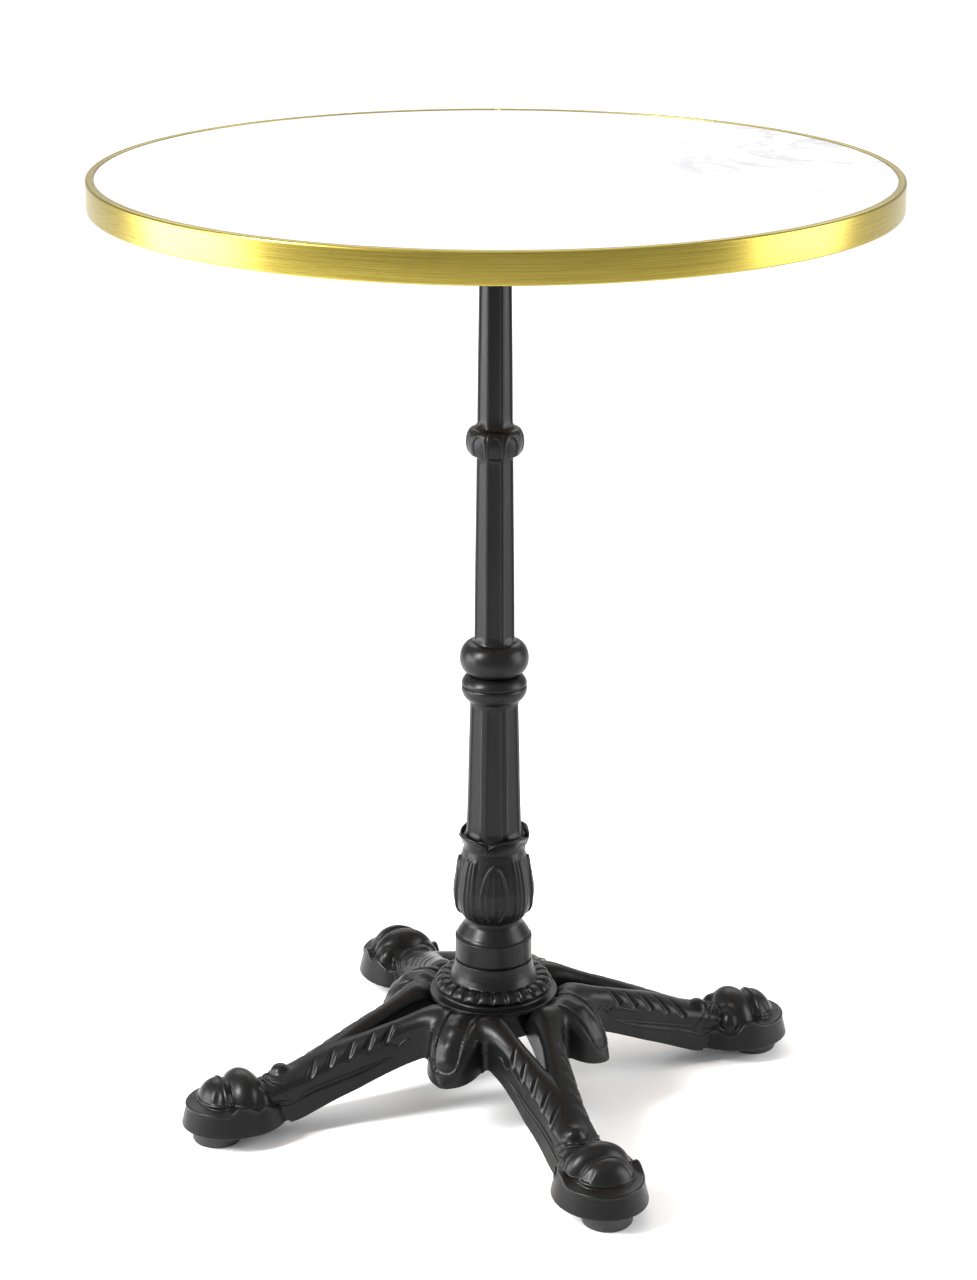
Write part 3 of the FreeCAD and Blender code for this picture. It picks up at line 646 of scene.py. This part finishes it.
TONGUE = faired([
    (26.0, 0.0, 14.0, 9.0, 78.0, 66.0),
    (44.0, 0.0, 17.0, 9.5, 84.0, 62.0),
    (50.0, 0.0, 18.4, 10.0, 88.6, 60.0),
    (56.0, 0.0, 19.4, 10.5, 91.4, 58.0),
    (62.0, 0.0, 20.2, 11.2, 92.2, 56.5),
    (68.0, 0.0, 20.6, 12.0, 91.4, 55.0),
    (76.0, 0.0, 20.2, 12.5, 88.4, 53.0),
    (83.0, 0.0, 18.8, 13.0, 82.6, 50.6),
    (88.0, 0.0, 16.6, 12.0, 76.2, 49.0),
    (92.0, 0.0, 13.6, 10.0, 68.4, 47.6),
    (95.5, 0.0, 9.8, 8.0, 59.6, 46.6),
    (98.0, 0.0, 5.6, 5.0, 52.8, 46.0),
    (100.0, 0.0, 1.5, 1.5, 48.0, 46.0),
], 1.4)
LEG_ENDS = (38.0, 203.0)
LEG_HOLLOW = (40.0, 192.0)
TONGUE_ENDS = (38.0, 99.8)
TONGUE_HOLLOW = (36.0, 87.0)
NOTCHES = [95.0, 110.0, 125.5, 141.0, 156.0]   # reach of each scallop across the crest

# Bead lines on the leg's side elevation: (reach, height).
UPPER_LINE = [(93, 57.5), (120, 49.4), (146, 41.6), (159, 37.9), (170, 34.4)]
LOWER_LINE = [(93, 57.5), (118, 46.2), (146, 37.2), (159, 33.6), (178, 26.4), (195, 28.6)]
INNER_LINE = [(193, 32.0), (184, 31.2), (175.5, 30.6)]
WAVY_LINE = [(79, 69.8), (83, 71.2), (87, 68.5), (90, 65), (94, 67.2), (100, 66.4),
             (112, 61.5), (120, 58.5)]


def line_height(line, x):
    """Height of a drawn line at each reach."""
    return np.interp(x, *np.array(line, float).T)


def between(ends, reach):
    """Field of the space between two reaches."""
    return np.maximum(ends[0] - reach, reach - ends[1])


def leg_field(x, y, z):
    """One leg along +X; it is the same on both sides apart from its knuckle and its foot."""
    signed, y = y, np.abs(y)
    beam, foot = beam_field(x, y, z, LEG)
    hollow = np.maximum(beam + WALL, between(LEG_HOLLOW, x))
    middle = np.interp(x, LEG[0], LEG[1])
    outside = smooth_step(2.0, 5.0, y - middle)
    below = smooth_step(0.0, 1.6, line_height(WAVY_LINE, x) - z)
    beam = beam + outside * (0.7 * below * smooth_step(124.0, 112.0, x)
                             + 0.5 * panel_depth(x, z))
    for reach in NOTCHES:
        middle, half, crest = (np.interp(reach, LEG[0], LEG[i]) for i in (1, 2, 4))
        inner = (reach - 4.0, middle + half * 0.30, crest + 3.4)
        outer_end = (reach + 5.5, middle + half * 1.06, crest - 9.0)
        beam = carve(beam, capsule(x, y, z, inner, outer_end, 1.2, 3.6), 1.4)
    solid = meet(beam, foot - z, 1.2)
    solid = np.maximum(solid, between(LEG_ENDS, x))
    solid = carve(solid, hollow, 1.0)
    knuckle = ellipsoid(x, signed, z, (178.5, -4.0, 44.6), (8.2, 8.8, 8.4))
    solid = join(solid, knuckle, 2.2)
    return foot_field(x, signed, z, solid)


def panel_depth(x, z):
    """1 between the two bead lines of the blade-shaped panel, 0 outside."""
    inside = smooth_step(0.3, 1.4, np.minimum(line_height(UPPER_LINE, x) - z,
                                              z - line_height(LOWER_LINE, x)))
    return inside * smooth_step(94.0, 100.0, x) * smooth_step(171.0, 169.0, x)


SHOE_CENTRE = 217.5
SHOE_LENGTH, SHOE_WIDTH = 42.0, 36.0   # half measures at the shoe's foot
SHOE_FOOT, SHOE_TOP = 14.5, 32.3
PAD_REACH = 232.0

# Height of the shoe's rolled edge against reach, on either side of the foot.
SHOE_EDGE_ONE_SIDE = faired([
    (190.0, 29.5), (197.5, 27.2), (203.0, 28.2), (206.5, 31.8), (210.0, 36.2), (213.5, 37.6),
    (218.0, 36.6), (224.0, 33.2), (230.0, 31.8), (240.0, 32.2), (264.0, 32.6)], 1.5)
SHOE_EDGE_OTHER_SIDE = faired([
    (190.0, 29.5), (196.0, 32.5), (199.5, 35.2), (203.5, 35.4), (207.0, 32.8), (210.5, 33.8),
    (215.0, 37.2), (219.5, 38.8), (223.5, 37.4), (228.0, 33.6), (233.0, 32.4), (264.0, 32.8)], 1.5)


def foot_field(x, y, z, leg):
    """The leg joined to its domed foot and round shoe."""
    side = np.abs(y)
    dome = ellipsoid(x, y, z, (212.0, 0.0, 29.0), (17.6, 27.6, 25.8))
    flank = ellipsoid(x, side, z, (201.5, 15.5, 29.0), (9.0, 12.0, 15.5))
    dome = join(dome, flank, 3.0)
    ridge = ellipsoid(x, y, z, (230.0, 0.0, 29.0), (17.0, 22.8, 21.6))
    arch = np.sqrt((x - 228.0 - side * 0.05) ** 2 + (ridge + 0.3) ** 2) - 1.3
    top = join(dome, ridge, 0.9)
    top = join(top, arch, 0.7)
    dent = capsule(x, side, z, (232.0, 9.0, 56.5), (238.5, 21.0, 43.0), 2.5, 5.5)
    top = carve(top, dent, 1.5)
    base_bead = np.sqrt((z - 37.0 + (x - 229.0) * 0.05) ** 2 + (ridge + 0.3) ** 2) - 1.2
    top = join(top, np.maximum(base_bead, 224.0 - x), 0.8)
    rise = (z - SHOE_FOOT) / 18.5
    length, width = SHOE_LENGTH - 4.4 * rise, SHOE_WIDTH - 4.4 * rise
    oval = np.sqrt(((x - SHOE_CENTRE) / length) ** 2 + (y / width) ** 2)
    wall = (oval - 1) * np.minimum(length, width)
    blend = smooth_step(-6.0, 6.0, y)
    edge = np.interp(x, *SHOE_EDGE_ONE_SIDE) * (1 - blend) \
        + np.interp(x, *SHOE_EDGE_OTHER_SIDE) * blend
    inside = np.clip(-wall, 0, None)
    ledge = SHOE_TOP + np.clip(inside - 1.0, 0, 12.0) * 0.36 \
        + (edge - SHOE_TOP) * np.exp(-(inside / 5.5) ** 2)
    lip = np.sqrt((z - edge + 1.0) ** 2 + (wall + 0.4) ** 2) - 1.2
    shoe = meet(wall, z - ledge, 1.0)
    shoe = join(shoe, np.maximum(lip, 190.0 - x), 0.7)
    solid = join(leg, join(top, shoe, 1.0), 1.2)
    under = np.where(x > 178.0, 14.0 - z, -50.0)
    solid = meet(solid, under, 1.5)
    inner = np.sqrt(((x - SHOE_CENTRE) / (length - 5.5)) ** 2 + (y / (width - 5.5)) ** 2)
    hollow = np.maximum((inner - 1) * 30.0, z - 27.0)
    solid = carve(solid, hollow, 0.8)
    from_stud = np.sqrt((x - PAD_REACH) ** 2 + y ** 2)
    boss = np.maximum(from_stud - 10.0, np.maximum(12.3 - z, z - 36.0))
    solid = np.minimum(solid, boss)
    bore = np.maximum(from_stud - 5.0, z - 42.0)
    return np.maximum(solid, -bore)


def tongue_field(x, y, z):
    """The tongue at 45 degrees between two legs: its hanging leaf, its spine and its hoop."""
    y = np.abs(y)
    reach = (x + y) * DIAGONAL
    side = np.abs(y - x) * DIAGONAL
    beam, foot = beam_field(reach, side, z, TONGUE)
    solid = meet(beam, foot - z, 1.2)
    solid = meet(solid, between(TONGUE_ENDS, reach), 1.0)
    hollow = np.maximum(beam + WALL, between(TONGUE_HOLLOW, reach))
    solid = carve(solid, hollow, 1.0)
    spine = [(50.0, 0.0, 81.5), (62.0, 0.0, 83.8), (73.0, 0.0, 80.8), (82.0, 0.0, 72.6),
             (87.6, 0.0, 64.6)]
    for a, b in zip(spine[:-1], spine[1:]):
        solid = join(solid, capsule(reach, side, z, a, b, 7.6, 7.2), 4.5)
    hoop, hoop_side = [], 11.6
    for at in np.arange(46.0, 86.1, 2.0):
        half, rise, crest = (np.interp(at, TONGUE[0], TONGUE[i]) for i in (2, 3, 4))
        height = crest - rise + rise * math.sqrt(1 - (hoop_side / half) ** 2)
        hoop.append((at, hoop_side, height))
    hoop += [(90.6, 10.6, 66.0), (93.4, 8.6, 60.0), (95.0, 5.6, 57.4), (95.8, 0.0, 56.6)]
    for a, b in zip(hoop[:-1], hoop[1:]):
        solid = join(solid, capsule(reach, side, z, a, b, 1.4, 1.4), 1.0)
    return solid


def base_field(x, y, z):
    """Leg and tongue together, the fillet between them wider near the axis."""
    soft = 2.6 + 5.4 * smooth_step(100.0, 74.0, np.sqrt(x * x + y * y))
    return join(leg_field(x, y, z), tongue_field(x, y, z), soft)


def skin(field, origin, cell):
    """Vertices and quads of the zero surface of a sampled field (surface nets)."""
    inside = field < 0
    shape = np.array(field.shape) - 1
    total = np.zeros(tuple(shape) + (3,), np.float32)
    count = np.zeros(tuple(shape), np.float32)
    for axis in range(3):
        others = [a for a in range(3) if a != axis]
        low = [slice(None)] * 3
        high = [slice(None)] * 3
        low[axis], high[axis] = slice(0, -1), slice(1, None)
        a, b = field[tuple(low)], field[tuple(high)]
        crossed = (a < 0) != (b < 0)
        part = np.where(crossed, a / np.where(crossed, a - b, 1), 0).astype(np.float32)
        for du in (0, 1):
            for dv in (0, 1):
                take = [slice(None)] * 3
                for other, shift in zip(others, (du, dv)):
                    take[other] = slice(shift, field.shape[other] - 1 + shift)
                hit = crossed[tuple(take)]
                count += hit
                total[..., axis] += np.where(hit, part[tuple(take)], 0)
                total[..., others[0]] += hit * du
                total[..., others[1]] += hit * dv
    active = count > 0
    index = np.full(tuple(shape), -1, np.int64)
    index[active] = np.arange(active.sum())
    cells = np.argwhere(active)
    vertices = cells + total[active] / count[active][:, None]
    vertices = vertices * cell + np.array(origin)
    faces = []
    for axis in range(3):
        u, v = [a for a in range(3) if a != axis]
        low = [slice(None)] * 3
        high = [slice(None)] * 3
        low[axis], high[axis] = slice(0, -1), slice(1, None)
        a, b = inside[tuple(low)], inside[tuple(high)]
        for mask, flip in ((a & ~b, axis == 1), (~a & b, axis != 1)):
            edges = np.argwhere(mask)
            keep = (edges[:, u] > 0) & (edges[:, v] > 0) \
                & (edges[:, u] < field.shape[u] - 1) & (edges[:, v] < field.shape[v] - 1)
            edges = edges[keep]
            corners = []
            for du, dv in ((-1, -1), (0, -1), (0, 0), (-1, 0)):
                at = edges.copy()
                at[:, u] += du
                at[:, v] += dv
                corners.append(index[at[:, 0], at[:, 1], at[:, 2]])
            quads = np.stack(corners, axis=1)
            faces.append(quads[:, ::-1] if flip else quads)
    return vertices, np.concatenate(faces)


def sampled(xs, ys, zs):
    """The base's field on a grid, worked out slab by slab to spare memory."""
    parts, slab = [], 32
    for first in range(0, len(xs), slab):
        x, y, z = np.meshgrid(xs[first:first + slab], ys, zs, indexing="ij", sparse=True)
        parts.append(base_field(x, y, z).astype(np.float32))
    return np.concatenate(parts)


MIRRORED_TO = 164.0


def leg_sector():
    """Skin of the quarter of the base around +X, cut along the diagonals.

    Up to MIRRORED_TO the two sides are alike, so only one is sampled.
    """
    xs = np.arange(26.0, 264.0, CELL)
    ys = np.arange(0.0, 76.0, CELL)
    zs = np.arange(10.0, 98.0, CELL)
    split = int(np.searchsorted(xs, MIRRORED_TO))
    half = sampled(xs[:split], ys, zs)
    field = np.concatenate([half[:, :0:-1], half], axis=1)
    ys = np.concatenate([-ys[:0:-1], ys])
    field = np.concatenate([field, sampled(xs[split:], ys, zs)])
    vertices, faces = skin(field, (xs[0], ys[0], zs[0]), CELL)
    sector = bmesh.new()
    for vertex in vertices:
        sector.verts.new(vertex)
    sector.verts.ensure_lookup_table()
    for face in faces:
        sector.faces.new([sector.verts[i] for i in face])
    for side in (1, -1):
        everything = sector.verts[:] + sector.edges[:] + sector.faces[:]
        bmesh.ops.bisect_plane(sector, geom=everything, dist=1e-4, plane_co=(0, 0, 0),
                               plane_no=(-1, side, 0), clear_outer=True)
    sector.verts.index_update()
    points = np.array([v.co[:] for v in sector.verts])
    polygons = [[v.index for v in face.verts] for face in sector.faces]
    sector.free()
    return points, polygons


def slope(points):
    """Value and gradient of the base's field at each point."""
    step = 0.4 * CELL
    value = base_field(points[:, 0], points[:, 1], points[:, 2])
    gradient = []
    for axis in range(3):
        shift = np.zeros(3)
        shift[axis] = step
        ahead, behind = points + shift, points - shift
        gradient.append((base_field(*ahead.T) - base_field(*behind.T)) / (2 * step))
    return value, np.stack(gradient, axis=1)


def on_diagonal(points):
    """Whether each point lies on a cut between two quarters of the base."""
    return np.abs(np.abs(points[:, 1]) - points[:, 0]) < 1e-3


def settled(points):
    """The points moved onto the true surface, and the outward directions there."""
    seam = on_diagonal(points)
    for _ in range(2):
        value, gradient = slope(points)
        size = np.maximum((gradient ** 2).sum(1), 0.05)
        move = -gradient * (value / size)[:, None]
        length = np.linalg.norm(move, axis=1)
        move *= np.minimum(1.0, 0.45 * CELL / np.maximum(length, 1e-9))[:, None]
        move[seam] = 0.0
        points = points + move
    value, gradient = slope(points)
    length = np.linalg.norm(gradient, axis=1)
    return points, gradient / np.maximum(length, 1e-6)[:, None]


# ---------------------------------------------------------------- base: cast beads
# The thin beads are swept rods sunk halfway into the skin. Their paths are given roughly
# and settle onto the surface.

SWEEP = 0.7   # mm between the rings of a bead


def on_side(path, side):
    """3-D points where a path drawn on the leg's side elevation meets the outer wall."""
    reach = np.arange(0.0, 48.0, 0.25)
    points = []
    for x, z in resample(path, 1.0):
        inside = np.flatnonzero(base_field(np.full_like(reach, x), side * reach, z) < 0)
        if len(inside):
            points.append((x, side * reach[inside[-1]], z))
    return points


def laid(path):
    """An eased path moved onto the skin, and the outward directions along it."""
    points = np.array(resample(path, SWEEP))
    for _ in range(2):
        points[1:-1] = 0.25 * points[:-2] + 0.5 * points[1:-1] + 0.25 * points[2:]
    for _ in range(4):
        value, gradient = slope(points)
        size = np.maximum((gradient ** 2).sum(1), 0.05)
        points = points - gradient * np.clip(value / size, -1.5, 1.5)[:, None]
    _, gradient = slope(points)
    return points, gradient / np.maximum(np.linalg.norm(gradient, axis=1), 1e-6)[:, None]


def bead(points, outward, radius):
    """Rod along the points, tapering to its ends: vertices, directions and faces."""
    run = np.gradient(points, axis=0)
    run /= np.linalg.norm(run, axis=1)[:, None]
    across = np.cross(run, outward)
    across /= np.linalg.norm(across, axis=1)[:, None]
    count, sides = len(points), 10
    ends = np.minimum(np.arange(count), np.arange(count)[::-1]) * SWEEP
    size = radius * (0.25 + 0.75 * smooth_step(0.0, 5.0, ends))
    angles = 2 * math.pi * np.arange(sides) / sides
    ring = np.cos(angles)[None, :, None] * outward[:, None] \
        + np.sin(angles)[None, :, None] * across[:, None]
    rings = points[:, None] + ring * size[:, None, None] - outward[:, None] * 0.1
    faces = [[i * sides + j, i * sides + (j + 1) % sides,
              (i + 1) * sides + (j + 1) % sides, (i + 1) * sides + j]
             for i in range(count - 1) for j in range(sides)]
    faces += [list(range(sides)), list(range((count - 1) * sides, count * sides))[::-1]]
    return rings.reshape(-1, 3), ring.reshape(-1, 3), faces


def sector_beads():
    """Every bead of one quarter of the base: lines on both walls, and straps over the ankle."""
    beads = []
    for side in (1, -1):
        for path, radius in ((UPPER_LINE, 1.0), (LOWER_LINE, 0.9), (INNER_LINE, 0.9),
                             (WAVY_LINE, 1.0)):
            beads.append(bead(*laid(on_side(path, side)), radius))
    half_straps = ([(170.5, 16.6, 34.6), (178, 15.6, 41), (185, 12, 45.5), (190.5, 6, 46.5),
                    (192, 0, 46.6)],
                   [(176, 16.6, 31.2), (183, 15.8, 38), (188.5, 12, 43), (193.5, 6, 46.5),
                    (195, 0, 47.4)])
    for half_strap in half_straps:
        strap = half_strap + [(x, -y, z) for x, y, z in half_strap[-2::-1]]
        beads.append(bead(*laid(strap), 1.0))
    return beads


def quarter_of_base():
    """Points, outward directions and polygons of the quarter of the base around +X."""
    points, polygons = leg_sector()
    points, outward = settled(points)
    seam = on_diagonal(points)
    side = np.sign(points[:, 1])
    across = np.stack([-np.ones(len(points)), side, np.zeros(len(points))], 1) / math.sqrt(2)
    flat = outward - across * (outward * across).sum(1)[:, None]
    outward = np.where(seam[:, None], flat, outward)
    for rod_points, rod_outward, rod_faces in sector_beads():
        polygons = polygons + [[i + len(points) for i in face] for face in rod_faces]
        points = np.concatenate([points, rod_points])
        outward = np.concatenate([outward, rod_outward])
    return points, outward, polygons


def weld(obj, directions):
    """Join the parts of a mesh and shade it by directions, or by its faces where they are zero."""
    work = bmesh.new()
    work.from_mesh(obj.data)
    kept = work.verts.layers.float_vector.new("outward")
    for vertex, direction in zip(work.verts, directions):
        vertex[kept] = direction
    bmesh.ops.remove_doubles(work, verts=work.verts[:], dist=0.02 * MM)
    bmesh.ops.recalc_face_normals(work, faces=work.faces[:])
    work.normal_update()
    normals = []
    for vertex in work.verts:
        direction = vertex[kept]
        normals.append(tuple(direction if direction.length > 0.5 else vertex.normal))
    work.verts.layers.float_vector.remove(kept)
    work.to_mesh(obj.data)
    work.free()
    obj.data.normals_split_custom_set_from_vertices(normals)


def make_base():
    """The base casting: four quarters about the axis, and the turned hub."""
    points, outward, polygons = quarter_of_base()
    vertices, directions, faces = [], [], []
    for quarter, (c, s) in enumerate([(1, 0), (0, 1), (-1, 0), (0, -1)]):
        for source, target in ((points, vertices), (outward, directions)):
            target.append(np.stack([source[:, 0] * c - source[:, 1] * s,
                                    source[:, 0] * s + source[:, 1] * c, source[:, 2]], axis=1))
        shift = quarter * len(points)
        faces += [[i + shift for i in polygon] for polygon in polygons]
    hub_vertices, hub_faces = hub_mesh()
    shift = 4 * len(points)
    vertices.append(hub_vertices)
    directions.append(np.zeros_like(hub_vertices))
    faces += [[i + shift for i in face] for face in hub_faces]
    base = new_object("base_casting_skin", np.concatenate(vertices), faces, CAST)
    weld(base, np.concatenate(directions))
    place(base, ["base_casting"])


# ---------------------------------------------------------------- build

make_band()
make_column_upper()
make_column_lower()
make_base()

CAD_LOOKS = {
    "marble_slab": MARBLE, "plywood_board": WOOD, "top_spider": CAST, "spider_screws": ZINC,
    "tie_rod": ZINC, "top_washer": ZINC, "top_nut": ZINC, "bottom_washer": ZINC,
    "bottom_nut": ZINC,
}
for foot in ("right", "rear", "left", "front"):
    CAD_LOOKS["pad_" + foot] = PLASTIC
    CAD_LOOKS["stud_" + foot] = ZINC
for name, material in CAD_LOOKS.items():
    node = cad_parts[name]
    node.data.materials.clear()
    node.data.materials.append(material)


# ---------------------------------------------------------------- stage, light and camera

def toward_viewer(right, near, height):
    """A point given as mm to the viewer's right, mm towards the viewer and mm up."""
    near_x, near_y = math.cos(BEARING_OF_VIEWER), math.sin(BEARING_OF_VIEWER)
    return Vector((near * near_x - right * near_y, near * near_y + right * near_x, height)) * MM


def make_stage():
    """A floor of white paper."""
    material, tree, shader = node_material("stage_paper")
    grain = noise(tree, object_coordinates(tree), 30.0, 3.0)
    tree.links.new(ramp(tree, grain, [(0.3, (0.93, 0.93, 0.93)), (0.7, (0.95, 0.95, 0.95))]),
                   shader.inputs["Base Color"])
    shader.inputs["Roughness"].default_value = 0.9
    half = 30000.0
    floor = new_object("stage_floor", [(-half, -half, 0), (half, -half, 0), (half, half, 0),
                                       (-half, half, 0)], [(0, 1, 2, 3)], material, False)


def area_light(name, position, target, width, height, power):
    """A rectangular light, its sides in mm and its power in watts, turned to its target."""
    light = bpy.data.lights.new(name, "AREA")
    light.shape = "RECTANGLE"
    light.size = width * MM
    light.size_y = height * MM
    light.energy = power
    obj = bpy.data.objects.new(name, light)
    bpy.context.scene.collection.objects.link(obj)
    obj.location = position
    obj.rotation_euler = (target - position).to_track_quat("-Z", "Y").to_euler()


def make_lights():
    """Large soft lights on both sides, above and behind, and an even white surround."""
    centre = toward_viewer(0, 0, 420)
    base = toward_viewer(0, 0, 250)
    area_light("key_left", toward_viewer(-1700, 900, 1600), base, 450, 1000, 88)
    area_light("strip_left", toward_viewer(-1900, 150, 520), centre, 1300, 800, 38)
    area_light("fill_right", toward_viewer(2000, 150, 850), centre, 1200, 1500, 38)
    area_light("overhead", toward_viewer(0, -300, 5000), toward_viewer(0, -300, 0), 4000, 4000, 45)
    area_light("background", toward_viewer(0, -6500, 4500), toward_viewer(0, -6500, 0),
               7000, 5000, 300)
    world = bpy.data.worlds.new("studio")
    bpy.context.scene.world = world
    world.use_nodes = True
    background = world.node_tree.nodes["Background"]
    background.inputs["Color"].default_value = (1.0, 1.0, 1.0, 1.0)
    background.inputs["Strength"].default_value = 0.62


def make_camera():
    """The camera looks a little below the level of the top, square to the column."""
    pitch, yaw, roll = 0.3202, -0.0020, 0.0024   # radians
    cos_yaw, sin_yaw = math.cos(yaw), math.sin(yaw)

    def direction(right, away, up):
        return toward_viewer(right, -away, up).normalized()

    forward = direction(sin_yaw * math.cos(pitch), cos_yaw * math.cos(pitch), -math.sin(pitch))
    right = direction(cos_yaw, -sin_yaw, 0.0)
    up = right.cross(forward)
    tilted_right = right * math.cos(roll) + up * math.sin(roll)
    tilted_up = up * math.cos(roll) - right * math.sin(roll)
    data = bpy.data.cameras.new("viewer")
    data.sensor_width = 36.0
    data.lens = 88.4
    data.clip_end = 100.0
    camera = bpy.data.objects.new("viewer", data)
    bpy.context.scene.collection.objects.link(camera)
    turn = Matrix((tilted_right, tilted_up, -forward)).transposed()
    camera.matrix_world = Matrix.Translation(toward_viewer(0, CAMERA_DISTANCE, CAMERA_HEIGHT)) \
        @ turn.to_4x4()
    bpy.context.scene.camera = camera
    bpy.context.scene.view_settings.view_transform = "Standard"


make_stage()
make_lights()
make_camera()
